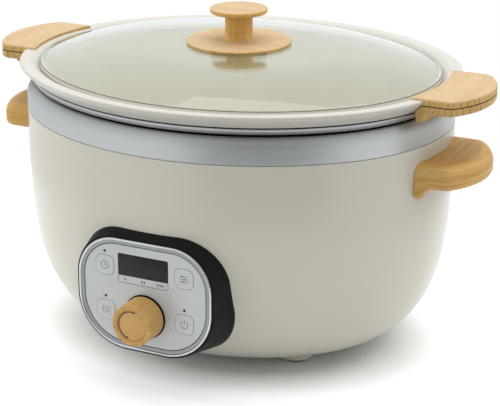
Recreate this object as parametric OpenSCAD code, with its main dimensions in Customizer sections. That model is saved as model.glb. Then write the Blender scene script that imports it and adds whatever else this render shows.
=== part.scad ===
// Oval slow cooker with a lift-out pot, a glass lid and a digital control pod.
// Millimetres. The table is z = 0, the body's axis is x = y = 0, and the controls face -Y.
//
// Every oval here is one family of parallel four-centre ovals: two end arcs and two side
// arcs of 90 degrees each. A profile is a list of [d, z] points, where d is the offset
// outwards from the body's own oval, and the four arcs sweep it round.

/* [Body] */
// Radius of the oval's end arcs, at the seam
end_r = 122; // [110:0.5:130]
// Distance of the arcs' centres from the diagonals, which sets how oval the plan is
arc_h = 26.87; // [22:0.01:30]
// Height of the seam between the painted housing and the steel band
seam_h = 171; // [165:1:180]
// How far the side curve would fall below the seam in the middle of the bottom
belly_drop = 168; // [160:1:168]
// How far the side curve would run inwards under the body
belly_in = 128.7; // [115:0.1:135]
// Squareness of the side curve
belly_power = 3.67; // [3:0.01:4.5]
// Wall of the painted housing
shell_t = 1.6; // [1.2:0.1:2.4]
// Height of the straight part of the steel band
band_h = 10.6; // [8:0.1:14]
// Radius of the band's rolled shoulder
band_r = 7.2; // [6:0.1:8]

/* [Pot] */
// Overhang of the pot's lip beyond the housing
lip_out = 4.7; // [3:0.1:6]
// Height of the lip's top above the seam
lip_h = 34.8; // [32:0.1:38]
// Outer face of the pot's wall under the lip, as an offset from the housing
pot_d = -11.4; // [-13:0.1:-11]
// Wall thickness of the cast pot
pot_t = 2.8; // [2.4:0.1:3.4]
// Height of the underside of the pot's floor above the table
pot_z = 70.5; // [66:0.5:90]
// Inward taper of the pot's wall from lip to floor
pot_taper = 5.8; // [4:0.1:8]

/* [Lid] */
// Thickness of the glass
glass_t = 4; // [3:0.5:5]
// Rise of the glass dome
dome_h = 14.1; // [10:0.1:18]
// Radius of the knob's base disc
knob_base_r = 38.2; // [30:0.1:42]
// Radius of the knob's top
lid_knob_r = 20.8; // [16:0.1:26]
// Height of the lid knob's top over the seam
lid_knob_h = 74.2; // [68:0.1:80]

/* [Control panel] */
// Width of the silver trim
panel_w = 104; // [96:1:110]
// Height of the silver trim
panel_h = 80.9; // [76:0.1:86]
// Height of the panel's middle above the table
panel_z = 72.3; // [68:0.1:76]
// How far the panel stands in front of the body's axis
panel_y = 143.5; // [142:0.1:150]
// Side of the square buttons
button_w = 15.7; // [12:0.1:16]
// Press of a button
button_travel = 0.5; // [0.3:0.1:0.6]
// Radius of the control knob at its foot
dial_r = 15.4; // [13:0.1:17]
// Height of the control knob over the panel
dial_h = 18; // [14:0.5:22]

/* [Handles] */
// Reach of the pot's handles from the middle of the cooker
pot_grip_x = 193.5; // [188:0.5:198]
// Half width of the pot's handles
pot_grip_w = 40.5; // [38:0.5:42]
// Reach of the housing's handles from the middle of the cooker
cup_x = 191.5; // [188:0.5:196]
// Half width of the housing's handles
cup_w = 38; // [36:1:40]
// Wall of the housing's handles
cup_t = 4.2; // [3.5:0.1:5]

/* [Feet] */
// Foot centre from the middle, along the length
foot_x = 66.5; // [60:0.5:75]
// Foot centre from the middle, across
foot_y = 40.5; // [36:0.5:48]
// Radius of a foot
foot_r = 13; // [11:0.5:14]

/* [Hidden] */
$fn = 96;

side_r = end_r + 2 * arc_h;          // radius of the side arcs
arc_c = arc_h * sqrt(2);             // distance of the arcs' centres from the middle
belly_end = 72.8;                    // where the side curve stops, under the body
band_top = seam_h + band_h + band_r;
lip_z = seam_h + lip_h;
wood = "#d9b27a";
pale_wood = "#ead0a2";
cream = "#cbc8ba";
dark = "#262626";
steel = "#b9bdc2";

// ---- shared shapes ----

// Rounded to a thousandth, so that faces which meet share their edges exactly.
function mm(v) = round(v * 1000) / 1000;

function arc(c, r, a0, a1, n) = [for (i = [0:n]) let (t = a0 + (a1 - a0) * i / n)
  [mm(c[0] + r * cos(t)), mm(c[1] + r * sin(t))]];
function rounded_box(w, h, r) = concat(
  arc([w / 2 - r, h / 2 - r], r, 0, 90, 8), arc([r - w / 2, h / 2 - r], r, 90, 180, 8),
  arc([r - w / 2, r - h / 2], r, 180, 270, 8), arc([w / 2 - r, r - h / 2], r, 270, 360, 8));

// A profile's points at radius r, closed to the axis of their arc.
function to_axis(p, r) = concat([[0, p[0][1]]], [for (q = p) [r + q[0], q[1]]],
  [[0, p[len(p) - 1][1]]]);

// The four arcs meet on the diagonals, so they are set out there and turned by 45 degrees.
// The first child sweeps round the end arcs' centres and the second round the side arcs'.
module four_arcs() rotate([0, 0, 45]) for (turn = [0, 180]) rotate([0, 0, turn]) {
  translate([arc_h, -arc_h, 0]) rotate([0, 0, -90]) rotate_extrude(angle = 90) children(0);
  translate([-arc_h, -arc_h, 0]) rotate_extrude(angle = 90) children(1);
}

// A solid of the oval family, filled to the middle at its first and last heights.
module oval_solid(p) four_arcs() {
  polygon(to_axis(p, end_r));
  polygon(to_axis(p, side_r));
}

// A ring of the oval family, with the outline p as its section.
module oval_ring(p) four_arcs() {
  translate([end_r, 0]) polygon(p);
  translate([side_r, 0]) polygon(p);
}

module oval_slab(d, z0, z1) oval_solid([[d, z0], [d, z1]]);

// A D-shaped grip about the X axis: a front arc and two corner arcs that meet on a
// 3-4-5 triangle, then straight sides back to x0. Its edge profile is p, as [offset, z].
module grip_solid(reach, half_w, corner_r, x0, p) {
  k = (half_w - corner_r) / 3;
  front_r = corner_r + 5 * k;
  cx = reach - front_r;
  far = 40;
  translate([cx, 0, 0]) grip_sector(-45, p, front_r, [[0, 0], [4 * far, -3 * far], [4 * far, 3 * far]]);
  translate([cx + 4 * k, 3 * k, 0])
    grip_sector(0, p, corner_r, [[0, 0], [4 * far, 3 * far], [4 * far, 6 * far], [0, 6 * far]]);
  translate([cx + 4 * k, -3 * k, 0])
    grip_sector(-90, p, corner_r, [[0, 0], [0, -6 * far], [4 * far, -6 * far], [4 * far, -3 * far]]);
  translate([x0, 0, 0]) rotate([90, 0, 90]) linear_extrude(cx + 4 * k - x0)
    polygon(concat([for (q = p) [half_w + q[0], q[1]]],
      [for (i = [len(p) - 1:-1:0]) [-half_w - p[i][0], p[i][1]]]));
}

// A quarter turn of the profile p from the angle a, cut to a wedge.
module grip_sector(a, p, r, wedge) intersection() {
  rotate([0, 0, a]) rotate_extrude(angle = 90) polygon(to_axis(p, r));
  linear_extrude(lip_z + 20) polygon(wedge);
}

// A cylinder along Y from y0 to y1, at x and z.
module along_y(x, z, r, y0, y1)
  translate([x, y1, z]) rotate([90, 0, 0]) cylinder(r = r, h = y1 - y0);

// A block along Y from y0 to y1 with rounded corners, w by h.
module block_y(x, z, w, h, r, y0, y1)
  translate([x, y1, z]) rotate([90, 0, 0]) linear_extrude(y1 - y0)
    polygon(rounded_box(w, h, r));

module both_ways() {
  children();
  rotate([0, 0, 180]) children();
}

module at_feet() for (x = [-foot_x, foot_x], y = [-foot_y, foot_y]) translate([x, y, 0]) children();

// ---- housing ----

// The side curve from under the body up to the seam, set inwards by t.
function belly(t) = [for (i = [16:-1:0]) let (u = belly_end * i / 16)
  [mm(-t - (belly_in - t) * (1 - pow(cos(u), 2 / belly_power))),
   mm(seam_h - (belly_drop - t) * pow(sin(u), 2 / belly_power))]];
floor_z = belly(0)[0][1];            // underside of the housing
lip_top = floor_z + shell_t + 0.03;  // seat of the base plate
base_hole_d = -72;                   // opening in the housing's floor
base_screw_d = -67.5;
cup_screw_y = 25;
cup_screw_z = seam_h - 19;

// Four screw places in the housing's floor, on the two axes of the oval.
base_screw_at = [[end_r + arc_c + base_screw_d, 0], [-end_r - arc_c - base_screw_d, 0],
  [0, side_r - arc_c + base_screw_d], [0, arc_c - side_r - base_screw_d]];

module outer_housing() color(cream) difference() {
  union() {
    difference() {
      oval_solid(belly(0));
      oval_solid(concat(belly(shell_t), [[-shell_t, seam_h + 1]]));
    }
    at_feet() translate([0, 0, 2.2]) {
      cylinder(r = foot_r - 1.2, h = 1.2);
      translate([0, 0, 1.2]) cylinder(r = foot_r, h = floor_z + shell_t - 3.4);
    }
  }
  oval_slab(base_hole_d, floor_z - 1, floor_z + shell_t);
  at_feet() translate([0, 0, 2.1]) cylinder(r = foot_r - 3.4, h = 0.6);
  front_prism(-7, -panel_y, -panel_y + 45);
  block_y(0, inlet_z, 31, 23, 3, 90, 140);
  for (s = base_screw_at) translate([s[0], s[1], 0]) cylinder(r = 1.9, h = 20);
  for (x = [-170, 130], y = [-cup_screw_y, cup_screw_y])
    translate([x, y, cup_screw_z]) rotate([0, 90, 0]) cylinder(r = 2.2, h = 40);
}

// A rolled steel band: skirt inside the housing, straight face, shoulder and inner lip.
module steel_band() color(steel) {
  z = seam_h + band_h;
  oval_ring(concat(
    [[-1.7, seam_h - 8], [-1.7, seam_h + 0.1], [0, seam_h + 0.1]],
    arc([-band_r, z], band_r, 0, 90, 8),
    [[-band_r - 1, band_top - 0.2], [-band_r - 1, z + 3], [-band_r, z + 3]],
    arc([-band_r, z], band_r - 1, 90, 0, 8),
    [[-1, seam_h + 3], [-2.7, seam_h + 1.5], [-2.7, seam_h - 8]]));
}

liner_top = seam_h + 9.4;
liner_d = -9.9;                      // the liner's inner face at its top
liner_low_d = pot_d - pot_taper + 2; // and above its bottom corner
liner_r = 24.5;                      // the liner's bottom corner, inside
liner_z = pot_z - 0.5;               // top of the liner's floor

module well_gasket() color(dark) oval_ring([
  [-band_r - 1.05, liner_top], [-band_r - 1.05, band_top - 0.8], [-9, band_top - 0.5],
  [liner_d, band_top - 1.2], [liner_d, liner_top]]);

// The heating well: one pressed sheet, with a flange that sits in the band.
module inner_liner() color("#8d9093") difference() {
  c = [liner_low_d - liner_r, liner_z + liner_r];
  oval_solid(concat(
    arc(c, liner_r + 1, 270, 360, 8),
    [[liner_d + 1, liner_top - 1], [-1.05, liner_top - 1], [-1.05, liner_top],
     [liner_d, liner_top]],
    arc(c, liner_r, 360, 270, 8)));
  translate([0, 0, liner_z - 5]) cylinder(r = 11.5, h = 10);
}

// Outer face of the liner's wall at height z.
function liner_out(z) = let (low = liner_z + liner_r)
  liner_low_d + 1 + (liner_d - liner_low_d) * (z - low) / (liner_top - 1 - low);

wrap_low = 100;
wrap_high = 146;
wrap_t = 4;

module insulation_wrap() color("#d8d2b4") oval_ring([
  for (q = [[0.15, wrap_low], [0.15, wrap_high], [wrap_t, wrap_high], [wrap_t, wrap_low]])
    [mm(liner_out(q[1]) + q[0]), q[1]]]);

plate_z = liner_z - 5;               // underside of the heater plate
heater_d = -62;

module heater_plate() color("#9a9da0") difference() {
  oval_slab(-45, plate_z, liner_z - 1);
  oval_ring(arc([heater_d, plate_z], 4, 0, 345, 23));
  translate([0, 0, plate_z - 1]) cylinder(r = 14, h = 10);
}

// A tubular element in the plate's groove, with two terminals turned down.
module heating_element() color("#6d6a66") {
  oval_ring(arc([heater_d, plate_z], 4, 0, 345, 23));
  for (x = [-9, 9]) translate([x, side_r - arc_c + heater_d, plate_z - 9])
    cylinder(r = 2, h = 9);
}

module temperature_probe() color("#a9acae") translate([0, 0, liner_z]) {
  translate([0, 0, -1.5]) cylinder(r = 11, h = 1.8);
  translate([0, 0, -1]) difference() {
    translate([0, 0, -1]) cylinder(r = 13, h = 1);
    translate([0, 0, -2]) cylinder(r = 9, h = 3);
  }
  translate([0, 0, -12]) cylinder(r = 5, h = 11);
}

// A tray that closes the space under the heater.
module heat_shield() color("#a7a9ab") difference() {
  oval_solid([[-24, 52], [-22, 54], [-22, 76], [-22.8, 75.4], [-22.8, 54.4], [-24.4, 52.8]]);
  for (x = [-9, 9]) translate([x, side_r - arc_c + heater_d, 45]) cylinder(r = 3.4, h = 15);
  translate([0, 0, 45]) cylinder(r = 7, h = 15);
}

module base_plate() color("#3a3a38") difference() {
  union() {
    oval_slab(-63, lip_top, lip_top + 2.4);
    for (x = [-28, 28], y = [-16, 16]) translate([x, y, lip_top]) cylinder(r = 3.5, h = 14);
  }
  for (s = base_screw_at) translate([s[0], s[1], 0]) cylinder(r = 1.45, h = 40);
  for (i = [-5:5], y = [-30, 30]) translate([i * 8, y, lip_top]) cube([3, 12, 8], center = true);
  at_feet() cylinder(r = 2, h = 20);
}

module base_screws() color("#8a8c8e") for (s = base_screw_at) translate([s[0], s[1], floor_z]) {
  translate([0, 0, -1.8]) cylinder(r = 3.4, h = 1.8);
  cylinder(r = 1.4, h = 9);
}

module rubber_feet() color("#1d1d1d") at_feet() {
  cylinder(r = foot_r - 3.9, h = 0.6);
  translate([0, 0, 0.6]) cylinder(r = foot_r - 3.5, h = 2.1);
}

module power_board() color("#2f6b3c") translate([0, 0, lip_top + 16.4]) {
  translate([-36, -24, 0]) cube([72, 48, 1.6]);
  translate([-30, -18, 1.6]) cube([19, 15.5, 15]);
  translate([6, -16, 1.6]) cube([24, 20, 17]);
  translate([-22, 10, 1.6]) cylinder(r = 6, h = 16);
  translate([0, 8, 1.6]) cube([28, 8, 10]);
}

// ---- housing handles: hollow cups that the fingers reach from below ----

cup_top = seam_h - 10;
cup_low = seam_h - 29;
cup_round = 9;                       // round-over of the top edge
cup_corner = 20;

function cup_profile(t, z0) = concat([[-t - (t > 0 ? 0 : 2), z0], [-t, z0 + (t > 0 ? 0 : 2)]],
  arc([-cup_round, cup_top - cup_round], cup_round - t, 0, 90, 8));

// The lug at each end of the cup runs down the housing with an ogee.
module cup_lug() rotate([90, 0, 0]) linear_extrude(cup_t)
  polygon(concat([[150, cup_low + 8], [170, cup_low + 8]],
    arc([169, cup_low - 7], 7, 90, 150, 8), arc([158, cup_low - 3.7], 4.6, -20, -90, 6),
    [[150, cup_low - 8.3]]));

module housing_handle() color(wood) difference() {
  union() {
    difference() {
      grip_solid(cup_x, cup_w, cup_corner, 148, cup_profile(0, cup_low));
      difference() {
        grip_solid(cup_x, cup_w, cup_corner, 148, cup_profile(cup_t, cup_low - 1));
        oval_slab(4, cup_low - 2, cup_top + 1);
      }
    }
    translate([0, cup_w, 0]) cup_lug();
    translate([0, cup_t - cup_w, 0]) cup_lug();
    for (y = [-cup_screw_y, cup_screw_y]) translate([152, y, cup_screw_z])
      rotate([0, 90, 0]) cylinder(r = 5, h = 18);
  }
  oval_slab(0, cup_low - 12, cup_top + 2);
  for (y = [-cup_screw_y, cup_screw_y]) translate([140, y, cup_screw_z])
    rotate([0, 90, 0]) cylinder(r = 1.6, h = 28);
}

module housing_handle_right() housing_handle();
module housing_handle_left() rotate([0, 0, 180]) housing_handle();

module housing_handle_screws() color("#8a8c8e") both_ways()
  for (y = [-cup_screw_y, cup_screw_y]) translate([151, y, cup_screw_z]) rotate([0, 90, 0]) {
    translate([0, 0, 0.2]) cylinder(r = 3.6, h = 2);
    cylinder(r = 1.55, h = 16.5);
  }

// ---- mains inlet at the back ----

inlet_z = 39;
inlet_y = 134;

module inlet_housing() color(dark) difference() {
  block_y(0, inlet_z, 48, 36, 6, 95, inlet_y);
  oval_solid(belly(0));
  block_y(0, inlet_z, 28.2, 20.2, 2, 90, inlet_y + 1);
}

// A three-pole socket: an insulating cup and its blades.
module power_inlet() color("#1b1b1b") {
  difference() {
    block_y(0, inlet_z, 28, 20, 2, 112, inlet_y - 1);
    block_y(0, inlet_z, 24.4, 16.4, 3.5, 116, inlet_y);
  }
  for (s = [[-7, -1], [0, 3], [7, -1]]) translate([s[0] - 1, 104, inlet_z + s[1] - 2.5])
    cube([2, 22, 5]);
}

// ---- control pod ----

top_r = 30;
low_r = 37;

// The panel's outline, widened by g, with its top and bottom arcs moved apart by up and down.
function panel_pts(g, up = 0, down = 0) = let (w = panel_w / 2, h = panel_h / 2) concat(
  arc([w - top_r, h - top_r + up], top_r + g, 0, 90, 15),
  arc([top_r - w, h - top_r + up], top_r + g, 90, 180, 15),
  arc([low_r - w, low_r - h - down], low_r + g, 180, 270, 15),
  arc([w - low_r, low_r - h - down], low_r + g, 270, 360, 15));

module front_prism(g, y0, y1, up = 0, down = 0) translate([0, y1, panel_z])
  rotate([90, 0, 0]) linear_extrude(y1 - y0) polygon(panel_pts(g, up, down));

// The pod widens towards the body, most at its top and bottom.
module pod_form(t) hull() {
  front_prism(1.2 - t, -panel_y, -panel_y + 0.5);
  front_prism(8 - t, -panel_y + 45, -panel_y + 45.5, 8, 5);
}

row_hi = panel_z + 19.1;             // upper buttons
row_lo = panel_z - 14;               // lower buttons and the knob
button_x = 30.8;
light_up = 10.2;                     // a light above its button
light_at = [[-button_x, row_hi + light_up], [-button_x, row_lo + light_up],
  [button_x, row_lo + light_up]];
button_at = [[-button_x, row_hi], [-button_x, row_lo], [button_x, row_hi], [button_x, row_lo]];
display_z = panel_z + 22.1;
face_y = -panel_y + 0.3;             // front of the panel face
back_y = face_y + 2;                 // and its back
board_y = -134;                      // front of the circuit board

module control_pod() color(dark) difference() {
  union() {
    difference() {
      pod_form(0);
      pod_form(2.4);
    }
    difference() {
      front_prism(1, back_y, back_y + 3);
      front_prism(-6, back_y - 1, back_y + 4);
    }
  }
  front_prism(-1.3, -panel_y - 1, back_y);
  oval_solid(belly(0));
}

// A silver ring with a rounded face, let into the pod's edge.
module panel_trim() color("#d3d6d9") difference() {
  union() {
    front_prism(-1.4, face_y - 0.5, back_y);
    front_prism(-0.2, face_y - 0.8, face_y - 0.35);
    front_prism(-0.8, face_y - 1.1, face_y - 0.8);
  }
  front_prism(-3.6, face_y - 0.4, back_y + 1);
  front_prism(-3.1, face_y - 2, face_y - 0.4);
}

module panel_face() color("#c5c9cc") difference() {
  front_prism(-3.7, face_y, back_y);
  for (b = button_at) block_y(b[0], b[1], button_w + 0.7, button_w + 0.7, 5.8, face_y - 1, back_y + 1);
  for (s = light_at) along_y(s[0], s[1], 1.1, face_y - 1, back_y + 1);
  block_y(0, display_z, 39.2, 16.6, 0.6, face_y - 1, back_y + 1);
  along_y(0, row_lo, 4.6, face_y - 1, back_y + 1);
}

module display_window() color("#2a2624") block_y(0, display_z, 39, 16.4, 0.5, face_y - 0.1, back_y);

module display_module() color("#dfe2e0")
  translate([-21.2, back_y, display_z - 10]) cube([42.4, board_y - back_y, 20]);

module status_lights() color("#1b1b1b") for (s = light_at)
  along_y(s[0], s[1], 1, face_y - 0.1, board_y);

module control_board() color("#2f6b3c") {
  difference() {
    front_prism(-10, board_y, board_y + 1.6);
    along_y(0, row_lo, 2, board_y - 1, board_y + 3);
  }
  for (x = [-36, 36]) along_y(x, panel_z, 2.5, back_y, board_y);
}

switch_y = back_y + 1.2 + 0.7 + button_travel + 0.2;

module button_switches() color("#3b3b3b") for (b = button_at) {
  translate([b[0] - 3, switch_y + 0.9, b[1] - 3]) cube([6, board_y - switch_y - 0.9, 6]);
  along_y(b[0], b[1], 1.7, switch_y, switch_y + 1);
}

module dial_encoder() color("#7c7f82") difference() {
  union() {
    translate([-6, board_y - 5, row_lo - 6]) cube([12, 5, 12]);
    along_y(0, row_lo, 4.4, face_y - 2.5, board_y - 4);
  }
  along_y(0, row_lo, 3.1, face_y - 4, board_y - 1);
}

module dial_collar() color(dark) difference() {
  along_y(0, row_lo, dial_r + 0.5, face_y - 0.7, face_y);
  along_y(0, row_lo, 4.5, face_y - 2, face_y + 1);
}

// A button cap, held behind the panel by its flange, with a pip that meets its switch.
module button(b) color("#c9cdd0") {
  block_y(b[0], b[1], button_w, button_w, 5.5, face_y - 0.3, back_y + 0.1);
  block_y(b[0], b[1], button_w + 2.4, button_w + 2.4, 6.5, back_y + 0.1, back_y + 1.2);
  along_y(b[0], b[1], 2.2, back_y + 1.2, back_y + 1.9);
}
module button_timer() button(button_at[0]);
module button_warm() button(button_at[1]);
module button_mode() button(button_at[2]);
module button_power() button(button_at[3]);

dial_y = face_y - 0.9;               // the knob's foot, just clear of its collar

// The knob turns about Y. Its front has a recess for the cap.
module control_knob() color("#c39a5e") translate([0, dial_y, row_lo]) rotate([90, 0, 0])
  rotate_extrude() polygon(concat(
    [[5, 0], [dial_r - 0.4, 0], [dial_r, 0.4]],
    arc([dial_r - 2.4, dial_h - 1.9], 1.6, 0, 90, 6),
    [[11.6, dial_h - 0.3], [11.5, dial_h - 1.4], [3, dial_h - 1.4], [3, 4.5], [5, 4.5]]));

module control_knob_cap() color("#c9a066") translate([0, dial_y, row_lo]) rotate([90, 0, 0])
  translate([0, 0, dial_h - 1.4]) cylinder(r1 = 11.4, r2 = 11.2, h = 0.8);

module control_knob_shaft() color("#8f9295")
  along_y(0, row_lo, 3, dial_y - dial_h + 1.4, board_y - 1.5);

// ---- pot ----

pot_corner = 22;
pot_low_d = pot_d - pot_taper;
lip_low = seam_h + 22;               // where the lip's flank leaves the wall
ledge_z = seam_h + 30.5;             // the lid's seat
grip_hi = lip_z + 1.5;               // top of the pot's handles
grip_mid = lip_z - 3.5;              // where the two shells meet
grip_low = lip_z - 9.6;
tab_z = grip_mid - 1.5;
grip_screw_at = [[180, -15], [180, 15]];

// One casting: floor, tapered wall, flared lip with the lid's seat, and a tab at each end.
module cooking_pot() color("#d9d5c8") {
  c = [pot_low_d - pot_corner, pot_z + pot_corner];
  oval_solid(concat(
    arc(c, pot_corner, 270, 360, 8),
    [[pot_d, lip_low - 2]], arc([pot_d + 1.6, lip_low - 1.6], 1.6, 180, 125, 3),
    [[lip_out - 1.4, lip_z - 2.3]], arc([lip_out - 1.2, lip_z - 1.2], 1.2, -60, 90, 6),
    [[-3.2, lip_z], [-4.2, lip_z - 0.4], [-9.2, ledge_z + 0.2], [-9.8, ledge_z],
     [-13.2, ledge_z], [pot_d - pot_t, ledge_z - 1.2]],
    arc(c, pot_corner - pot_t, 360, 270, 8)));
  both_ways() difference() {
    translate([158, -22, tab_z]) cube([28, 44, 3]);
    oval_slab(lip_out - 4, tab_z - 1, tab_z + 4);
    for (s = grip_screw_at) translate([s[0], s[1], tab_z - 1]) cylinder(r = 2.2, h = 5);
  }
}

pot_grip_corner = 9;

// Everything the pot and its tab fill, so that the shells clamp round them.
module pot_bite() {
  oval_solid([[pot_d, seam_h + 10], [pot_d, lip_low - 1.6], [pot_d + 0.75, lip_low - 0.4],
    [lip_out + 0.05, lip_z - 2.2], [lip_out + 0.05, lip_z]]);
  translate([150, -22, tab_z]) cube([36, 44, 3]);
}

module pot_handle_top() color(pale_wood) difference() {
  grip_solid(pot_grip_x, pot_grip_w, pot_grip_corner, 140, concat(
    [[-0.5, grip_mid + 0.1], [0, grip_mid + 0.6]],
    arc([-1.8, grip_hi - 1.8], 1.8, 0, 90, 5)));
  pot_bite();
  oval_slab(-2.3, grip_mid - 1, grip_hi + 1);
  for (s = grip_screw_at) translate([s[0], s[1], grip_mid - 1]) cylinder(r = 1.5, h = 4.4);
}

// The lower shell reaches in under the lip, down to the band, and stands against the wall.
module pot_handle_base() color("#d9bd84") difference() {
  grip_solid(pot_grip_x, pot_grip_w, pot_grip_corner, 140, concat(
    arc([-2.6, grip_low + 2.6], 2.6, -90, 0, 5), [[0, grip_mid - 0.4], [-0.4, grip_mid]]));
  pot_bite();
  for (s = grip_screw_at) translate([s[0], s[1], grip_low - 1]) {
    cylinder(r = 2.2, h = 10);
    cylinder(r = 3.9, h = 3);
  }
}

module pot_handle_top_right() pot_handle_top();
module pot_handle_top_left() rotate([0, 0, 180]) pot_handle_top();

module grip_toe() color("#d9bd84") difference() {
  translate([0, pot_grip_w - 2, 0]) rotate([90, 0, 0]) linear_extrude(2 * pot_grip_w - 4)
    polygon([[140, band_top + 0.9], [152, band_top + 0.9], [166, grip_low], [166, grip_low + 3],
      [140, grip_low + 3]]);
  pot_bite();
  translate([150, -pot_grip_w + 8, band_top - 2]) cube([30, 2 * pot_grip_w - 16, 9]);
}

module pot_handle_base_both() {
  pot_handle_base();
  grip_toe();
}
module pot_handle_base_right() pot_handle_base_both();
module pot_handle_base_left() rotate([0, 0, 180]) pot_handle_base_both();

module pot_handle_screws() color("#8a8c8e") both_ways()
  for (s = grip_screw_at) translate([s[0], s[1], grip_low + 0.4]) {
    cylinder(r = 3.6, h = 1.6);
    cylinder(r = 1.45, h = grip_mid - grip_low + 2.6);
  }

// ---- lid ----

glass_d = -9.8;
glass_edge_z = ledge_z + 0.1;
dome_start = -12;
dome_run = 86;
dome_steps = 14;
lid_top = glass_edge_z + glass_t + dome_h;

// Points of the dome, from its rim (s = 0) to its flat middle (s = 1), lowered by t.
function dome(t) = [for (i = [0:dome_steps]) let (s = i / dome_steps)
  [mm(dome_start - dome_run * s), mm(lid_top - t - dome_h * pow(1 - s, 2.2))]];

module lid_glass() color("#cfd6cf") difference() {
  oval_solid(concat([[glass_d - 0.6, glass_edge_z], [glass_d, glass_edge_z + 0.6],
    [glass_d, glass_edge_z + glass_t - 0.7], [glass_d - 0.7, glass_edge_z + glass_t]], dome(0)));
  oval_solid(concat([[dome_start, glass_edge_z - 1]], dome(glass_t)));
  translate([0, 0, lid_top - 10]) cylinder(r = 4, h = 20);
}

stem_r = 10;
collar_top = seam_h + 57.7;
knob_top = seam_h + lid_knob_h;

module lid_knob() color(pale_wood) rotate_extrude() polygon(concat(
  [[2.6, collar_top], [stem_r - 0.3, collar_top], [stem_r, collar_top + 0.4]],
  arc([stem_r + 2, knob_top - 5.4], 2, 180, 90, 4),
  arc([lid_knob_r - 1.7, knob_top - 1.7], 1.7, -90, 90, 8),
  [[0, knob_top - 0.3], [0, knob_top - 8], [2.6, knob_top - 8]]));

module lid_knob_base() color(pale_wood) rotate_extrude() polygon(concat(
  [[3, lid_top], [knob_base_r - 0.6, lid_top]],
  arc([knob_base_r - 0.9, lid_top + 0.95], 0.9, -60, 80, 4),
  arc([stem_r + 2.3, lid_top + 5], 2.5, 270, 180, 5),
  [[stem_r - 0.2, collar_top - 0.1], [3, collar_top - 0.1]]));

module lid_knob_gasket() color("#e8e4d8") translate([0, 0, lid_top - glass_t - 0.6])
  difference() {
    cylinder(r = 17, h = 0.6);
    translate([0, 0, -1]) cylinder(r = 3, h = 3);
  }

washer_h = 10;

module lid_knob_washer() color("#d8c08c") translate([0, 0, lid_top - glass_t - 0.6 - washer_h])
  rotate_extrude() polygon(concat(
    [[3, 3.4], [6.2, 3.4], [6.2, 0], [16, 0]], arc([17.1, 2], 2, -90, 0, 5),
    [[19.1, washer_h], [3, washer_h]]));

module lid_knob_screw() color("#a9acae") translate([0, 0, lid_top - glass_t - 0.6 - washer_h]) {
  difference() {
    translate([0, 0, 0.4]) cylinder(r = 5.6, h = 3);
    translate([-4, -0.6, 0]) cube([8, 1.2, 1.6]);
  }
  translate([0, 0, 3.3]) cylinder(r = 2.5, h = knob_top - 9 - (lid_top - glass_t - 0.6 - washer_h) - 3.3);
}

outer_housing();
steel_band();
well_gasket();
inner_liner();
insulation_wrap();
heater_plate();
heating_element();
temperature_probe();
heat_shield();
base_plate();
base_screws();
rubber_feet();
power_board();
housing_handle_left();
housing_handle_right();
housing_handle_screws();
inlet_housing();
power_inlet();
control_pod();
panel_trim();
panel_face();
display_window();
display_module();
status_lights();
control_board();
button_switches();
dial_encoder();
dial_collar();
button_timer();
button_warm();
button_mode();
button_power();
control_knob();
control_knob_cap();
control_knob_shaft();
cooking_pot();
pot_handle_top_left();
pot_handle_top_right();
pot_handle_base_left();
pot_handle_base_right();
pot_handle_screws();
lid_glass();
lid_knob();
lid_knob_base();
lid_knob_gasket();
lid_knob_washer();
lid_knob_screw();
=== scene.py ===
"""Oval slow cooker: meshes, materials, light and camera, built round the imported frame.

Sizes are in millimetres and mostly repeat the driving dimensions of the part's source; the
buttons, window, knob, handles and the pot's skirt are a finer reading of the same forms.
A profile is a list of (offset from the oval, height), and offsets are negative inwards.
Meshes are made in metres, in the frame of the CAD model.
"""
import math

import bmesh
import bpy
from mathutils import Matrix, Vector


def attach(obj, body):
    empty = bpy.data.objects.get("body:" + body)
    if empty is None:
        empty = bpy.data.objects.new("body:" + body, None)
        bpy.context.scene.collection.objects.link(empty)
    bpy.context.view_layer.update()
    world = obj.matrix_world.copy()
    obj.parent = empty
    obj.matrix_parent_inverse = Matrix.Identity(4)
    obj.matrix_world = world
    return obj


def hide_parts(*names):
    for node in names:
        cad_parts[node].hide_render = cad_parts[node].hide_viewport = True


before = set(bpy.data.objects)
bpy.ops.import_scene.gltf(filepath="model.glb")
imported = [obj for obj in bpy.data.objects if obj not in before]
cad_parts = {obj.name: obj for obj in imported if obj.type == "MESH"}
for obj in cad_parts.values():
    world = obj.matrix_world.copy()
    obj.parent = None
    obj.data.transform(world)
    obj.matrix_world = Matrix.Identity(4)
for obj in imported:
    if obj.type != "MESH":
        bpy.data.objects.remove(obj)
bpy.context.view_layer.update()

MM = 0.001
TURN_STEPS = 96                    # steps round a turned piece
SHARP = 38                         # an edge is sharp where its faces turn by more degrees

# ---- driving dimensions ----

END_R = 122.0                      # the oval's end arcs
ARC_H = 26.87
SIDE_R = END_R + 2 * ARC_H         # and its side arcs
ARC_C = ARC_H * math.sqrt(2)       # the arcs' centres, on both axes
PER_ARC, FINE_ARC, BAND_ARC, SHELL_ARC = 40, 56, 56, 48   # steps in a quarter of the oval

SEAM_H = 171.0                     # where the body meets the steel band
BELLY_DROP, BELLY_IN, BELLY_POWER, BELLY_END = 168.0, 128.7, 3.67, 72.8
BELLY_STEPS = 60
SHELL_T = 1.6
HOLE_D = -72.0                     # the opening in the body's floor
BAND_H, BAND_R = 10.6, 7.2
BAND_TOP = SEAM_H + BAND_H + BAND_R
FOOT_X, FOOT_Y, FOOT_R = 66.5, 40.5, 13.0

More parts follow.
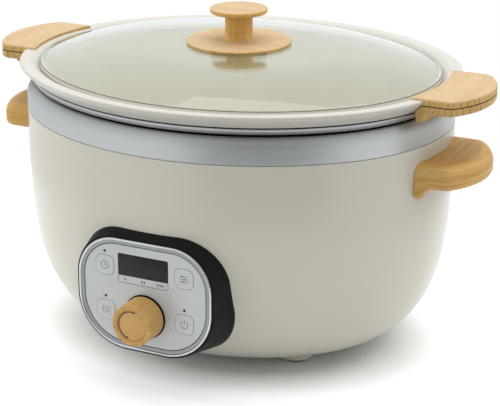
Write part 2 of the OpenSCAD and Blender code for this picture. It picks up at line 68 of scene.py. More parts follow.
LIP_OUT, LIP_Z = 4.68, SEAM_H + 34.8
LIP_FOOT_D, LIP_FOOT_Z = -2.5, LIP_Z - 9.3   # where the lip's flank meets the metal skirt
SKIRT_LOW, SKIRT_TOP = BAND_TOP + 2.1, LIP_FOOT_Z - 1.4
POT_D, POT_T, POT_Z, POT_TAPER = -11.4, 2.8, 70.5, 5.8
POT_CORNER, CORNER_STEPS = 22.0, 14
POT_MIDDLE = -121.0                # close to the middle of the pot's floor
SKIRT_FACE = 5                     # points on the skirt's face, down from its groove
GAP_SHADE_LOW = BAND_TOP - 4            # where the painted shade on the pot's wall starts, under the skirt
LEDGE_Z = SEAM_H + 30.5            # the lid's seat
TAB_X, TAB_L, TAB_W, TAB_T = 172.0, 28.0, 44.0, 3.0

GLASS_T, GLASS_D, DOME_H, DOME_START, DOME_RUN = 4.0, -9.8, 14.1, -12.0, 86.0
GLASS_EDGE_Z = LEDGE_Z + 0.1
LID_TOP = GLASS_EDGE_Z + GLASS_T + DOME_H
KNOB_BASE_R, LID_KNOB_R, STEM_R = 38.2, 20.8, 10.0
COLLAR_TOP, KNOB_TOP = SEAM_H + 57.7, SEAM_H + 74.2

GRIP_X, GRIP_W, GRIP_CORNER, GRIP_INNER = 193.5, 40.5, 9.0, -3.6
GRIP_HI, GRIP_MID, GRIP_LOW = LIP_Z + 1.5, LIP_Z - 3.5, LIP_Z - 9.6
GRIP_ROUND, GRIP_UNDER, TOE_W = 1.8, 2.6, 6.0   # its upper and lower edges, and its toes
CUP_X, CUP_W, CUP_T, CUP_CORNER, CUP_ROUND = 193.2, 40.2, 4.4, 12.0, 8.5
CUP_UNDER, CUP_INNER = 3.4, -0.3   # round of the cup's lower edge, and its end on the oval
CUP_TOP, CUP_LOW = SEAM_H - 10.5, SEAM_H - 27.5
CUP_HOLLOW, CUP_CEILING_R = 4.0, 4.8
LUG_X, LUG_RUN, LUG_DROP = 165.0, 7.5, 8.0

PANEL_W, PANEL_H, PANEL_Z, PANEL_Y = 104.0, 80.9, 72.3, 143.5
PANEL_TOP_R, PANEL_LOW_R = 30.0, 37.0
FACE_Y = -PANEL_Y + 0.3
BACK_Y = FACE_Y + 2
POD_GROW, POD_SWELL = 4.7, 3.2     # the pod's foot round the panel, and more at lower right
BUTTON_W, BUTTON_X, BUTTON_R, BUTTON_GAP = 14.2, 30.8, 4.4, 0.25
ROW_HI, ROW_LO = PANEL_Z + 19.1, PANEL_Z - 14
BUTTONS = {"timer": (-BUTTON_X, ROW_HI), "warm": (-BUTTON_X, ROW_LO),
           "mode": (BUTTON_X, ROW_HI), "power": (BUTTON_X, ROW_LO)}
LIGHT_UP, LIGHT_R = 10.2, 1.05
LIGHTS = [(-BUTTON_X, ROW_HI + LIGHT_UP), (-BUTTON_X, ROW_LO + LIGHT_UP),
          (BUTTON_X, ROW_LO + LIGHT_UP)]
DISPLAY_X, DISPLAY_Z, DISPLAY_W, DISPLAY_H = -0.9, PANEL_Z + 21.6, 39.0, 15.8
LABEL_Z = DISPLAY_Z - 13.3         # the lower edge of the label strip
DIAL_R, DIAL_H, DIAL_Y = 15.1, 18.0, FACE_Y - 0.9
DIAL_CAP_R, MARK_R = 11.2, 10.1
DIAL_BORE, SHAFT_BORE, BORE_H, COLLAR_HOLE_R = 5.0, 3.1, 4.5, 4.6

MARK_T, MARK_SINK, ICON_LINE = 0.05, 0.03, 0.42    # printed marks: height, foot, line width
LABEL_R, LABEL_LINE = 1.6, 0.4
BAR_L, BAR_W, BAR_STEP = 1.1, 1.7, 1.9
LABEL_BARS = ((-14.0, 1), (0.0, 2), (13.4, 3))     # where each group stands, and its bars


# ---- outlines and profiles ----

def arc(cx, cy, r, a0, a1, n):
    """n + 1 points from angle a0 to a1, in degrees."""
    turns = [math.radians(a0 + (a1 - a0) * i / n) for i in range(n + 1)]
    return [(cx + r * math.cos(t), cy + r * math.sin(t)) for t in turns]


def spread(points, count):
    """The polyline's points set out again at even steps."""
    steps = [math.dist(a, b) for a, b in zip(points, points[1:])]
    total, out, i, gone = sum(steps), [], 0, 0.0
    for k in range(count):
        want = total * k / (count - 1)
        while i < len(steps) - 1 and gone + steps[i] < want:
            gone += steps[i]
            i += 1
        f = (want - gone) / steps[i] if steps[i] else 0.0
        a, b = points[i], points[i + 1]
        out.append(tuple(p + (q - p) * min(f, 1.0) for p, q in zip(a, b)))
    return out


def oval(d, per_arc=PER_ARC):
    """The oval at offset d, anticlockwise."""
    out = []
    for cx, cy, r, start in ((ARC_C, 0, END_R, -45), (0, -ARC_C, SIDE_R, 45),
                             (-ARC_C, 0, END_R, 135), (0, ARC_C, SIDE_R, 225)):
        out += arc(cx, cy, r + d, start, start + 90, per_arc)[:-1]
    return out


def panel_outline(g, n=24):
    """The control panel's outline in X and Z, widened by g."""
    w, h, tr, lr = PANEL_W / 2, PANEL_H / 2, PANEL_TOP_R, PANEL_LOW_R
    out = arc(w - tr, h - tr, tr + g, 0, 90, n)
    out += spread(out[-1:] + [(tr - w, h + g)], 9)[1:-1]
    out += arc(tr - w, h - tr, tr + g, 90, 180, n)
    out += arc(lr - w, lr - h, lr + g, 180, 270, n)
    out += spread(out[-1:] + [(w - lr, -h - g)], 9)[1:-1]
    out += arc(w - lr, lr - h, lr + g, 270, 360, n)
    return [(x, z + PANEL_Z) for x, z in out]


def box_outline(w, h, r, n=8):
    """A rectangle with round corners, about the middle."""
    return (arc(w / 2 - r, h / 2 - r, r, 0, 90, n) + arc(r - w / 2, h / 2 - r, r, 90, 180, n)
            + arc(r - w / 2, r - h / 2, r, 180, 270, n) + arc(w / 2 - r, r - h / 2, r, 270, 360, n))


def grip_outline(reach, half_w, corner_r, inner_d, inset, inner_inset=0.0, tip=2.6):
    """A D-shaped grip that ends on the oval at offset inner_d, seen from above.

    Goes from the near tip round the front to the far tip, and back along the oval.
    inset narrows the outside and inner_inset the side on the oval.
    """
    k = (half_w - corner_r) / 3    # the front and corner arcs meet on a 3:4:5 slope
    front_r, side = corner_r + 5 * k, half_w - inset
    cx = reach - front_r
    r_in = END_R + inner_d + inner_inset
    swing = math.degrees(math.atan2(3, 4))
    tip_x = ARC_C + math.sqrt(r_in ** 2 - side ** 2)
    tip_a = math.degrees(math.asin(side / r_in))
    cut_a = math.degrees(tip / r_in)
    far = arc(cx + 4 * k, 3 * k, corner_r - inset, swing, 90, 10)
    front = arc(cx, 0, front_r - inset, -swing, swing, 44)
    near = [(x, -y) for x, y in reversed(far)]
    side_run = spread([(tip_x + tip, -side), near[0]], 18)
    out = side_run[:-1] + near[:-1] + front[:-1] + far[:-1]
    out += [(x, -y) for x, y in reversed(side_run)]
    inner = arc(ARC_C, 0, r_in, tip_a - cut_a, cut_a - tip_a, 40)
    out += bend(out[-1], (tip_x, side), inner[0])[1:-1] + inner
    out += bend(inner[-1], (tip_x, -side), side_run[0])[1:-1]
    return out


def bend(a, corner, b, n=6):
    """A curve from a to b that leaves towards the corner between them."""
    out = []
    for i in range(n + 1):
        t = i / n
        out.append(tuple((1 - t) ** 2 * p + 2 * t * (1 - t) * q + t * t * r
                         for p, q, r in zip(a, corner, b)))
    return out


# ---- mesh makers ----

def shade(obj, angle=SHARP):
    """Smooth shading, sharp where faces meet at more than the angle."""
    mesh = obj.data
    mesh.polygons.foreach_set("use_smooth", [True] * len(mesh.polygons))
    mesh.set_sharp_from_angle(angle=math.radians(angle))


def add_object(name, bm):
    bmesh.ops.recalc_face_normals(bm, faces=bm.faces)
    mesh = bpy.data.meshes.new(name)
    bm.to_mesh(mesh)
    bm.free()
    obj = bpy.data.objects.new(name, mesh)
    bpy.context.scene.collection.objects.link(obj)
    shade(obj)
    return obj


def loft(name, rings, closed=False, caps=(False, False), flow="ring", cap_flow="y"):
    """A skin over rings of points in millimetres, each ring with as many points.

    flow says which way a fibre runs on the skin, round the rings or across them, and
    cap_flow the axis it runs along on the caps; the map called grain holds both.
    """
    bm = bmesh.new()
    uv = bm.loops.layers.uv.new("grain")
    n = len(rings[0])
    verts = [[bm.verts.new(Vector(p) * MM) for p in ring] for ring in rings]
    mid = rings[len(rings) // 2]
    around = [0.0]
    for i in range(n):
        around.append(around[-1] + math.dist(mid[i], mid[(i + 1) % n]) * MM)
    along = [0.0]
    for a, b in zip(rings, rings[1:] + rings[:1]):
        along.append(along[-1] + math.dist(a[0], b[0]) * MM)
    pairs = list(range(len(rings) if closed else len(rings) - 1))
    for j in pairs:
        low, high = verts[j], verts[(j + 1) % len(rings)]
        for i in range(n):
            k = (i + 1) % n
            face = bm.faces.new((low[i], low[k], high[k], high[i]))
            at = ((i, j), (i + 1, j), (i + 1, j + 1), (i, j + 1))
            for loop, (a, b) in zip(face.loops, at):
                pair = (around[a], along[b])
                loop[uv].uv = pair if flow == "ring" else pair[::-1]
    for wanted, ring in zip(caps, (verts[0], verts[-1])):
        if wanted:
            face = bm.faces.new(ring)
            for loop in face.loops:
                x, y, z = loop.vert.co
                loop[uv].uv = {"x": (x, y), "y": (y, x), "z": (x, z)}[cap_flow]
    return add_object(name, bm)


def oval_loft(name, profile, closed=True, caps=(False, False), per_arc=PER_ARC):
    """A profile swept round the oval."""
    rings = [[(x, y, z) for x, y in oval(d, per_arc)] for d, z in profile]
    return loft(name, rings, closed=closed, caps=caps)


def lathe(name, profile, at=(0, 0, 0), axis="z", **kw):
    """A profile of (radius, height) points turned about an upright or a forward axis."""
    rings = []
    for r, h in profile:
        ring = []
        for x, y in arc(0, 0, r, 0, 360, TURN_STEPS)[:-1]:
            ring.append((at[0] + x, at[1] + y, at[2] + h) if axis == "z"
                        else (at[0] + x, at[1] - h, at[2] + y))
        rings.append(ring)
    return loft(name, rings, **kw)


def panel_rings(levels):
    """Rings of the panel's outline at each (widening, y)."""
    return [[(x, y, z) for x, z in panel_outline(g)] for g, y in levels]


def turned(obj, turn):
    """The mesh turned about the upright axis through the middle."""
    obj.data.transform(Matrix.Rotation(math.radians(turn), 4, "Z"))
    return obj


def settle(obj, angle=SHARP):
    """Turns the mesh and its modifiers into one plain mesh."""
    bpy.context.view_layer.update()
    deps = bpy.context.evaluated_depsgraph_get()
    mesh = bpy.data.meshes.new_from_object(obj.evaluated_get(deps))
    obj.modifiers.clear()
    obj.data = mesh
    shade(obj, angle)
    return obj


def soften(obj, width, segments):
    """Rounds the edges of a mesh."""
    mod = obj.modifiers.new("edge", "BEVEL")
    mod.width, mod.segments, mod.limit_method = width * MM, segments, "ANGLE"
    mod.angle_limit = math.radians(35)
    mod.harden_normals = False
    return settle(obj)


def carve(obj, cutters):
    """Cuts other meshes out of a mesh."""
    for cutter in cutters:
        mod = obj.modifiers.new("cut", "BOOLEAN")
        mod.object, mod.operation, mod.solver = cutter, "DIFFERENCE", "EXACT"
    settle(obj, 30)
    for cutter in cutters:
        bpy.data.objects.remove(cutter)
    return obj


def prism(name, outline, y0, y1):
    """An outline in X and Z, drawn out along Y."""
    rings = [[(x, y, z) for x, z in outline] for y in (y0, y1)]
    return loft(name, rings, caps=(True, True), cap_flow="z")


def give(obj, material, body, slot_name, *nodes):
    """Finishes a piece: its material, its body and the CAD nodes it stands for; slot_name is not
    used.
    """
    obj.data.materials.clear()
    obj.data.materials.append(MATERIALS[material])
    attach(obj, body)
    if nodes:
        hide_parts(*nodes)
    return obj


# ---- materials ----

def rgb(r, g, b):
    """A colour given as it looks on a screen."""
    def lin(v):
        v /= 255
        return v / 12.92 if v <= 0.04045 else ((v + 0.055) / 1.055) ** 2.4
    return (lin(r), lin(g), lin(b), 1.0)


class Graph:
    """The node tree of a material or a world, and short ways to add to it."""

    def __init__(self, owner):
        owner.use_nodes = True
        self.nodes, self.links = owner.node_tree.nodes, owner.node_tree.links

    def node(self, kind, **values):
        n = self.nodes.new(kind)
        for key, value in values.items():
            socket = key.replace("_", " ")
            if socket in n.inputs:
                n.inputs[socket].default_value = value
            else:
                setattr(n, key, value)
        return n

    def link(self, a, b):
        self.links.new(a, b)

    def feed(self, *pairs):
        """Links or sets each (value, socket)."""
        for value, socket in pairs:
            if hasattr(value, "is_linked"):
                self.link(value, socket)
            else:
                socket.default_value = value

    def range(self, value, a, b, low, high, how="LINEAR"):
        n = self.node("ShaderNodeMapRange", interpolation_type=how, From_Min=a, From_Max=b,
                      To_Min=low, To_Max=high)
        self.link(value, n.inputs["Value"])
        return n.outputs["Result"]

    def math(self, how, a, b):
        n = self.node("ShaderNodeMath", operation=how)
        self.feed((a, n.inputs[0]), (b, n.inputs[1]))
        return n.outputs["Value"]

    def mix(self, fac, a, b, how="MIX"):
        n = self.node("ShaderNodeMix", data_type="RGBA", blend_type=how)
        self.feed((fac, n.inputs[0]), (a, n.inputs[6]), (b, n.inputs[7]))
        return n.outputs[2]


class Shader(Graph):
    """A material with one Principled shader."""

    def __init__(self, name, colour, roughness, metallic=0.0, **inputs):
        self.mat = bpy.data.materials.new(name)
        super().__init__(self.mat)
        self.bsdf = self.nodes["Principled BSDF"]
        inputs.update(Base_Color=colour, Roughness=roughness, Metallic=metallic)
        for key, value in inputs.items():
            self.bsdf.inputs[key.replace("_", " ")].default_value = value

    def place(self, scale=(1, 1, 1), grain=False, shift=(0, 0, 0)):
        """Texture coordinates in metres times scale, in the object or on the map called grain."""
        if grain:
            src = self.node("ShaderNodeUVMap", uv_map="grain").outputs["UV"]
        else:
            src = self.node("ShaderNodeTexCoord").outputs["Object"]
        m = self.node("ShaderNodeMapping", Scale=scale, Location=shift)
        self.link(src, m.inputs["Vector"])
        return m.outputs["Vector"]

    def noise(self, where, scale=1.0, detail=3.0, rough=0.5, twist=0.0):
        n = self.node("ShaderNodeTexNoise", Scale=scale, Detail=detail, Roughness=rough,
                      Distortion=twist)
        self.link(where, n.inputs["Vector"])
        return n.outputs["Fac"]

    def bump(self, height, depth, strength=1.0):
        n = self.node("ShaderNodeBump", Strength=strength, Distance=depth * MM)
        self.link(height, n.inputs["Height"])
        if self.bsdf.inputs["Normal"].is_linked:
            self.link(self.bsdf.inputs["Normal"].links[0].from_socket, n.inputs["Normal"])
        self.link(n.outputs["Normal"], self.bsdf.inputs["Normal"])

    def to(self, socket, value):
        self.link(value, self.bsdf.inputs[socket])


def dimmed(colour, share):
    """The colour at a share of its light."""
    return tuple(c * share for c in colour[:3]) + (1,)


def paint(name, colour, roughness=0.3):
    """Baked paint: a faint, broad orange peel under a clear coat."""
    s = Shader(name, colour, roughness, Coat_Weight=0.25, Coat_Roughness=0.15)
    where = s.place()
    s.bump(s.noise(where, 170, 1), 0.012, 0.12)
    cloud = s.range(s.noise(where, 9, 3), 0.3, 0.7, 0.0, 1.0)
    s.to("Base Color", s.mix(cloud, dimmed(colour, 0.975), colour))
    s.to("Roughness", s.range(s.noise(where, 40, 3), 0.3, 0.7, roughness - 0.02, roughness + 0.03))
    return s.mat


def brushed(name, colour, roughness=0.3, lines=2600, across=14, depth=0.006, spread=0.0):
    """Metal with fine level brush lines, which spread its gloss up and down."""
    s = Shader(name, colour, roughness, 1.0, Anisotropic=spread, Anisotropic_Rotation=0.25)
    if spread:
        way = s.node("ShaderNodeTangent", direction_type="UV_MAP", uv_map="grain")
        s.to("Tangent", way.outputs["Tangent"])
    where = s.place((across, across, lines))
    fine = s.noise(where, 1.0, 5, 0.7)
    s.bump(fine, depth, 0.6)
    s.to("Roughness", s.range(fine, 0.3, 0.7, roughness - 0.05, roughness + 0.05))
    s.to("Base Color", s.mix(s.range(fine, 0.35, 0.65, 0.0, 1.0),
                             dimmed(colour, 0.95), colour))
    return s.mat


def cast(name, colour, roughness=0.45, metallic=1.0, grain=900, depth=0.02, specular=0.5):
    """Metal or plastic with a fine even grain."""
    s = Shader(name, colour, roughness, metallic, Specular_IOR_Level=specular)
    where = s.place()
    fine = s.noise(where, grain, 3, 0.6)
    s.bump(fine, depth, 0.5)
    s.to("Roughness", s.range(s.noise(where, 55, 3), 0.3, 0.7, roughness - 0.05, roughness + 0.05))
    s.to("Base Color", s.mix(s.range(fine, 0.3, 0.7, 0.0, 1.0), dimmed(colour, 0.9), colour))
    return s.mat


def wood(name, light, dark, vein, dash=0.5, line=0.3, wave=0.3, seed=0.0, fine=1.0,
         roughness=0.5):
    """Wood along the map called grain: bands, long veins, and short dark pores."""
    s = Shader(name, light, roughness, Specular_IOR_Level=0.3)
    shift = (seed, seed * 0.7, 0)
    bands = s.noise(s.place((7, 85 * fine, 1), True, shift), 1.0, 3, 0.5, wave)
    veins = s.noise(s.place((16, 330 * fine, 1), True, (seed + 3, 1.7, 0)), 1.0, 4, 0.6, wave * 0.6)
    pores = s.noise(s.place((105, 1150 * fine, 1), True, (seed + 5, 4.1, 0)), 1.0, 2, 0.5)
    base = s.mix(s.range(bands, 0.34, 0.68, 0.0, 1.0), light, dark)
    lined = s.mix(s.range(veins, 0.52, 0.7, 0.0, line), base, vein)
    s.to("Base Color", s.mix(s.range(pores, 0.54, 0.68, 0.0, dash), lined, vein))
    s.bump(veins, 0.02, 0.3)
    s.bump(pores, 0.02, 0.35)
    s.to("Roughness", s.range(veins, 0.35, 0.7, roughness - 0.05, roughness + 0.08))
    return s.mat


def clear_glass(name):
    """Clear glass with a very faint wave."""
    s = Shader(name, rgb(250, 252, 248), 0.0, Transmission_Weight=1.0, IOR=1.42)
    s.bump(s.noise(s.place(), 16, 2), 0.05, 0.08)
    return s.mat


def display_glass(name):
    """A dark window with a faint smoked depth."""
    s = Shader(name, rgb(30, 26, 23), 0.22, Specular_IOR_Level=0.25)
    s.to("Base Color", s.mix(s.range(s.noise(s.place(), 40, 2), 0.3, 0.7, 0.0, 1.0),
                             rgb(27, 23, 21), rgb(34, 28, 25)))
    return s.mat


FINISHES = {  # the maker, and what follows the name in its call
    "cream_paint": (paint, rgb(210, 207, 193)),
    # painted light: the lip's coating made paler for inside the pot, making up the light the lid
    # glass holds back
    "pot_coating": (paint, rgb(243, 240, 227), 0.34),
    "lip_coating": (paint, rgb(205, 202, 192), 0.34),
    "brushed_steel": (brushed, rgb(203, 207, 208), 0.5, 2600, 14, 0.006, 0.9),
    "pot_metal": (brushed, rgb(194, 196, 196), 0.4, 1500, 20),
    "well_metal": (brushed, rgb(168, 170, 172), 0.4, 1800, 20),
    "cast_aluminium": (cast, rgb(178, 180, 182), 0.5),
    "element_metal": (cast, rgb(92, 90, 86), 0.55),
    "screw_steel": (brushed, rgb(176, 178, 180), 0.3, 900, 300),
    "black_plastic": (cast, rgb(17, 17, 16), 0.6, 0.0, 1300, 0.02, 0.15),
    "black_rubber": (cast, rgb(28, 28, 28), 0.75, 0.0, 700, 0.04),
    "circuit_board": (cast, rgb(34, 92, 50), 0.4, 0.0, 300, 0.03),
    "glass_wool": (cast, rgb(214, 206, 172), 0.95, 0.0, 500, 0.5),
    "white_plastic": (cast, rgb(222, 224, 222), 0.4, 0.0, 900, 0.01),
    "clear_silicone": (cast, rgb(222, 214, 190), 0.45, 0.0, 900, 0.01),
    "silver_trim": (brushed, rgb(205, 208, 209), 0.3, 700, 60, 0.002),
    # painted shade: a darker copy of the trim's metal, for its recessed band
    "trim_band": (brushed, rgb(144, 148, 150), 0.4, 700, 60, 0.002),
    # painted shade: dark grey standing in for the shadow in narrow grooves
    "seam_dark": (cast, rgb(64, 64, 64), 0.6, 0.0, 900, 0.002),
    "silver_face": (cast, rgb(202, 206, 207), 0.42, 0.2, 2200, 0.004),
    "glass_rim": (cast, rgb(228, 225, 214), 0.4, 0.0, 500, 0.01),
    "glass_line": (cast, rgb(104, 100, 90), 0.4, 0.0, 500, 0.01),
    # painted shade: black standing in for the shadow in the gap between the pot and the band
    "gap_black": (cast, rgb(10, 10, 9), 0.7, 0.0, 500, 0.01, 0.1),
    "seam_brown": (cast, rgb(84, 60, 30), 0.7, 0.0, 900, 0.01),
    # painted sheen: a paler, faintly veined copy of the wood for level tops
    "pale_top": (wood, rgb(207, 181, 141), rgb(200, 170, 125), rgb(170, 124, 70),
                  0.45, 0.12, 0.2, 0.0),
    "pale_side": (wood, rgb(212, 178, 114), rgb(198, 160, 92), rgb(132, 94, 42),
                  0.6, 0.75, 0.1, 2.0),
    "stem_wood": (wood, rgb(226, 182, 106), rgb(212, 166, 90), rgb(170, 122, 56),
                  0.3, 0.4, 0.1, 5.0),
    # painted light: far paler than the knob's wood, making up the shade under the disc and glass
    "washer_wood": (wood, rgb(250, 242, 208), rgb(244, 232, 192), rgb(224, 200, 148),
                  0.3, 0.2, 0.2, 7.0),
    "warm_wood": (wood, rgb(216, 176, 108), rgb(198, 153, 80), rgb(152, 103, 42),
                  0.35, 0.55, 0.8, 4.0, 1.3),
    "knob_wood": (wood, rgb(214, 172, 104), rgb(200, 158, 92), rgb(136, 94, 42),
                  0.6, 0.6, 0.05, 6.0, 3.4),
    "cap_wood": (wood, rgb(212, 172, 108), rgb(204, 162, 98), rgb(164, 118, 60),
                  0.25, 0.2, 0.2, 8.0),
    "burnt_mark": (cast, rgb(52, 34, 18), 0.7, 0.0, 900, 0.002),
    "lid_glass": (clear_glass,),
    "ink": (cast, rgb(98, 102, 106), 0.5, 0.0, 900, 0.002),
    "lamp_black": (cast, rgb(28, 28, 30), 0.3, 0.0, 900, 0.002),
    "display_black": (display_glass,),
}
MATERIALS = {name: make(name, *rest) for name, (make, *rest) in FINISHES.items()}


# ---- housing ----

def belly_profile(inside=0.0):
    """The side curve from under the body up to the seam, evenly stepped."""
    raw, count = [], 700
    for i in range(count):
        u = math.radians(BELLY_END * (i / (count - 1)) ** 1.7)
        c, s = math.cos(u) ** (2 / BELLY_POWER), math.sin(u) ** (2 / BELLY_POWER)
        raw.append((-inside - (BELLY_IN - inside) * (1 - c), SEAM_H - (BELLY_DROP - inside) * s))
    return list(reversed(spread(raw, BELLY_STEPS)))


FLOOR_Z = belly_profile()[0][1]


def make_housing():
    """The painted shell, its four foot bosses and their rubber pads."""
    outer = [(d, z) for d, z in belly_profile() if z < SEAM_H - 0.7]
    inner = [(d, z) for d, z in belly_profile(SHELL_T) if z < SEAM_H - 1.2]
    profile = [(HOLE_D, FLOOR_Z)] + outer
    profile += arc(-0.45, SEAM_H - 0.7, 0.45, 0, 90, 4)
    profile += [(-SHELL_T, SEAM_H - 0.25)] + list(reversed(inner))
    profile += [(HOLE_D, FLOOR_Z + SHELL_T)]
    give(oval_loft("housing_shell", profile, per_arc=SHELL_ARC), "cream_paint", "housing",
         "cream_paint", "outer_housing")
    boss = [(FOOT_R - 3.4, 2.7), (FOOT_R - 3.4, 2.4), (FOOT_R - 2.0, 2.2)]
    boss += arc(FOOT_R - 1.2, 3.4, 1.2, -90, 0, 5)
    boss += [(FOOT_R, FLOOR_Z + 3.2), (FOOT_R - 1.5, FLOOR_Z + 3.4)]
    pad = [(FOOT_R - 4.2, 0.0), (FOOT_R - 3.9, 0.15), (FOOT_R - 3.6, 0.7), (FOOT_R - 3.5, 2.7)]
    for i, (x, y) in enumerate(((-1, -1), (1, -1), (-1, 1), (1, 1))):
        at = (x * FOOT_X, y * FOOT_Y, 0)
        give(lathe(f"foot_boss_{i + 1}", boss, at, caps=(True, True)), "cream_paint", "housing",
             "cream_paint")
        give(lathe(f"foot_pad_{i + 1}", pad, at, caps=(True, True)), "black_rubber", "housing",
             "black_rubber", *(["rubber_feet"] if i == 0 else []))


def make_band():
    """The steel band, rolled in at the top, and the seal between it and the well."""
    z = SEAM_H + BAND_H
    profile = [(-1.2, SEAM_H - 2), (-1.2, SEAM_H + 0.25)]
    profile += arc(-0.4, SEAM_H + 0.65, 0.4, -90, 0, 4)
    profile += [(0.0, z - 3), (0.0, z - 0.6)] + arc(-BAND_R, z, BAND_R, 0, 90, 16)
    profile += arc(-BAND_R - 0.6, BAND_TOP - 0.4, 0.4, 90, 180, 4)
    profile += [(-BAND_R - 1, z + 3), (-BAND_R, z + 3)]
    profile += arc(-BAND_R, z, BAND_R - 1, 90, 0, 10) + [(-2.7, SEAM_H - 2)]
    give(oval_loft("steel_ring", profile, per_arc=BAND_ARC), "brushed_steel", "housing",
         "brushed_steel", "steel_band")
    low, top, near, far = SEAM_H + 9.4, BAND_TOP - 0.3, -BAND_R - 1.05, -9.9
    gasket = [(near, low), (near, top - 0.3), (near - 0.25, top), (far + 0.5, top),
              (far, top - 0.5), (far, low)]
    give(oval_loft("well_seal", gasket), "black_rubber", "housing", "black_rubber", "well_gasket")


# ---- pot ----

def pot_profiles():
    """Open profiles: the metal outside going up, then the coated lip, then the inside going down.

    The metal's last points are the skirt's face, SKIRT_FACE of them.
    """
    c = (POT_D - POT_TAPER - POT_CORNER, POT_Z + POT_CORNER)
    outside = arc(*c, POT_CORNER, 270, 358, CORNER_STEPS)
    outside += [(POT_D - 0.3, GAP_SHADE_LOW), (POT_D, SKIRT_LOW - 1.5)]
    outside += arc(POT_D + 1.5, SKIRT_LOW - 1.4, 1.4, 180, 90, 4)
    outside += [(-5.6, SKIRT_LOW), (-5.2, SKIRT_LOW + 0.3), (-3.7, SKIRT_TOP - 0.6),
                (-4.0, SKIRT_TOP - 0.1), (-4.5, SKIRT_TOP), (-7.6, SKIRT_TOP)]
    lip = [(-7.8, LIP_FOOT_Z - 0.1), (LIP_FOOT_D - 0.5, LIP_FOOT_Z - 0.2)]
    lip += bend((LIP_FOOT_D, LIP_FOOT_Z + 0.2), (LIP_OUT - 1.2, LIP_Z - 3.8),
                (LIP_OUT - 0.5, LIP_Z - 2.6), 5)
    lip += arc(LIP_OUT - 1.3, LIP_Z - 1.3, 1.3, -30, 80, 8)
    lip += bend((LIP_OUT - 2.2, LIP_Z), (-3.4, LIP_Z), (-4.6, LIP_Z - 0.8), 6)
    lip += bend((-8.6, LEDGE_Z + 0.8), (-9.2, LEDGE_Z), (-10.4, LEDGE_Z), 5)
    wall = POT_D - POT_T
    inside = bend((-12.6, LEDGE_Z), (wall + 0.1, LEDGE_Z), (wall, LEDGE_Z - 2.2), 5)
    inside += list(reversed(arc(*c, POT_CORNER - POT_T, 270, 358, CORNER_STEPS)))
    return outside, lip, inside


def make_pot():
    """One closed skin each for the metal and its coating, which meets it inside the wall."""
    outside, lip, inside = pot_profiles()
    corner, floor = CORNER_STEPS + 1, POT_Z + POT_T
    back = [(-7.8, LIP_FOOT_Z - 0.4), (-8.4, LIP_FOOT_Z - 0.4), (POT_D + 0.8, SKIRT_LOW + 2.6),
            (POT_D - 0.8, SKIRT_LOW - 1.2), (POT_D - 1.0, GAP_SHADE_LOW)]
    back += [(d - 0.6, z + 0.4) for d, z in reversed(outside[:corner])]
    shell = oval_loft("pot_shell", [(POT_MIDDLE, POT_Z)] + outside + back
                      + [(POT_MIDDLE, POT_Z + 0.6)])
    give(shell, "pot_metal", "pot", "pot_metal", "cooking_pot")
    groove = len(outside)
    # painted shade: the skirt's top, in the groove under the lip, is painted dark
    stripe(shell, "seam_dark", [groove - 1, groove], 4 * PER_ARC)
    # painted shade: the pot's wall, from low under the skirt up round its foot, is painted black
    # for the shadow in the gap above the band
    stripe(shell, "gap_black", range(corner + 1, groove - SKIRT_FACE), 4 * PER_ARC)
    behind = [(POT_MIDDLE, floor - 1.2)]
    behind += [(d + 1.2, z - 0.8) for d, z in reversed(inside[-corner:])]
    behind += [(POT_D - 1.7, GAP_SHADE_LOW), (POT_D - 1.4, SKIRT_LOW - 1.2)]
    behind += [(-9.2, LIP_FOOT_Z + 0.4), (-8.0, LIP_FOOT_Z + 0.1)]
    lining = oval_loft("pot_lining", lip + inside + [(POT_MIDDLE, floor)] + behind,
                       per_arc=FINE_ARC)
    # painted light: the lining takes the paler copy of the coating inside the pot, and the lip
    # keeps the coating's own tone
    give(lining, "pot_coating", "pot", "pot_metal")
    stripe(lining, "lip_coating", range(len(lip)), 4 * FINE_ARC)
    tab = box_outline(TAB_L, TAB_W, 3)
    for name, turn in (("grip_tab_right", 0), ("grip_tab_left", 180)):
        rings = [[(TAB_X + x, y, GRIP_MID + up) for x, y in tab] for up in (-TAB_T / 2, TAB_T / 2)]
        give(turned(loft(name, rings, caps=(True, True)), turn), "pot_metal", "pot", "pot_metal")


def flank_d(z):
    """The lip's flank, as an offset at height z."""
    f = (z - LIP_FOOT_Z) / (LIP_Z - 2.6 - LIP_FOOT_Z)
    return LIP_FOOT_D + (LIP_OUT - 0.5 - LIP_FOOT_D) * min(max(f, 0.0), 1.0)


